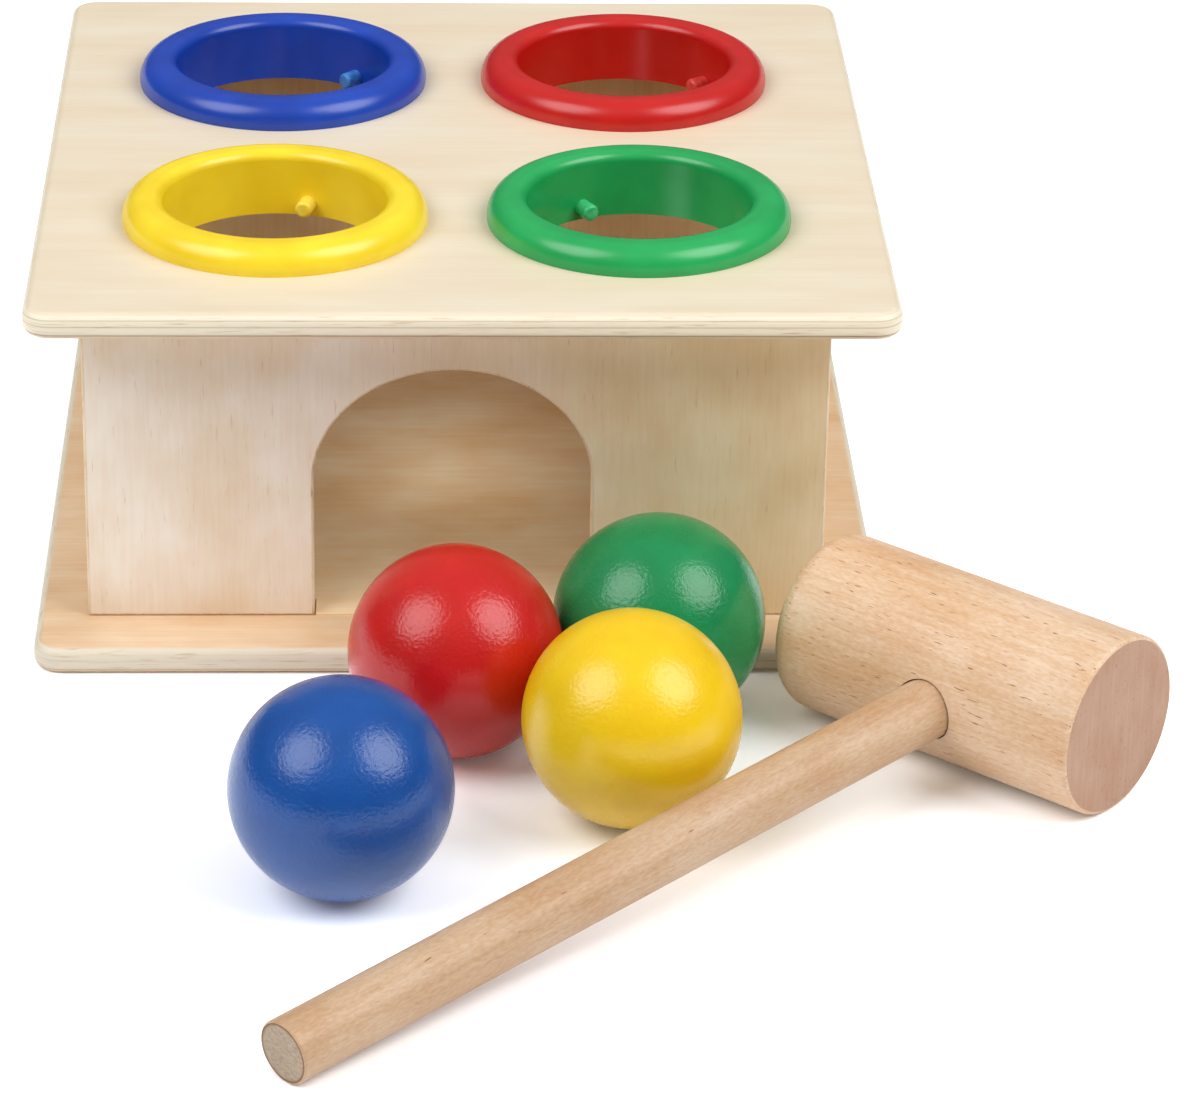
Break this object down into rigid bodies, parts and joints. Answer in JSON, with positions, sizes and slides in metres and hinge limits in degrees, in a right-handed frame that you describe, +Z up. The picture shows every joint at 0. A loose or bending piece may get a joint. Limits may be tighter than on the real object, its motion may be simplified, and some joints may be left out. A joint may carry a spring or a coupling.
{
  "type": "hammer ball bench",
  "caption": "Plywood pounding bench with ringed holes in its top, an arched ball outlet in front, loose painted balls and a wooden hammer that knocks them through.",
  "frame": {"origin": "middle of the base panel's underside, on the table", "axes": "+Z up, -Y towards the arched front where the balls lie, +X to the right as seen from the front"},
  "size_m": [0.2383, 0.3675, 0.0904],
  "materials": {
    "top_plywood": "satin lacquered birch plywood",
    "base_plywood": "satin lacquered birch plywood",
    "wall_plywood": "sanded plywood",
    "ramp_plywood": "sanded plywood",
    "batten_wood": "plain sawn wood",
    "beech": "sanded beech",
    "ring_yellow": "gloss moulded plastic",
    "ball_yellow": "gloss paint on wood",
    "ring_green": "gloss moulded plastic",
    "ball_green": "gloss paint on wood",
    "ring_blue": "gloss moulded plastic",
    "ball_blue": "gloss paint on wood",
    "ring_red": "gloss moulded plastic",
    "ball_red": "gloss paint on wood"
  },
  "bodies": {
    "bench": {"base_panel": "base_plywood", "top_panel": "top_plywood", "front_wall": "wall_plywood", "back_wall": "wall_plywood", "left_wall": "wall_plywood", "right_wall": "wall_plywood", "ramp": "ramp_plywood", "ramp_rail": "batten_wood", "pin_front_left_bottom": "batten_wood", "pin_front_left_top": "batten_wood", "pin_front_right_bottom": "batten_wood", "pin_front_right_top": "batten_wood", "pin_back_left_bottom": "batten_wood", "pin_back_left_top": "batten_wood", "pin_back_right_bottom": "batten_wood", "pin_back_right_top": "batten_wood", "ring_yellow": "ring_yellow", "ring_green": "ring_green", "ring_blue": "ring_blue", "ring_red": "ring_red"},
    "yellow_ball": {"ball_yellow": "ball_yellow"},
    "green_ball": {"ball_green": "ball_green"},
    "blue_ball": {"ball_blue": "ball_blue"},
    "red_ball": {"ball_red": "ball_red"},
    "hammer": {"hammer_head": "beech", "hammer_handle": "beech"}
  },
  "joints": [
    {"name": "yellow_ball_lift", "type": "slide", "parent": "bench", "child": "yellow_ball", "axis": [0, -0.12, 0.9928], "range_m": [0, 0.12]},
    {"name": "green_ball_lift", "type": "slide", "parent": "bench", "child": "green_ball", "axis": [0, -0.12, 0.9928], "range_m": [0, 0.12]},
    {"name": "blue_ball_lift", "type": "slide", "parent": "bench", "child": "blue_ball", "axis": [0, -0.12, 0.9928], "range_m": [0, 0.12]},
    {"name": "red_ball_lift", "type": "slide", "parent": "bench", "child": "red_ball", "axis": [0, -0.12, 0.9928], "range_m": [0, 0.12]},
    {"name": "hammer_lift", "type": "slide", "parent": "bench", "child": "hammer", "axis": [0.2, -0.21, 0.957], "range_m": [0, 0.12]}
  ]
}
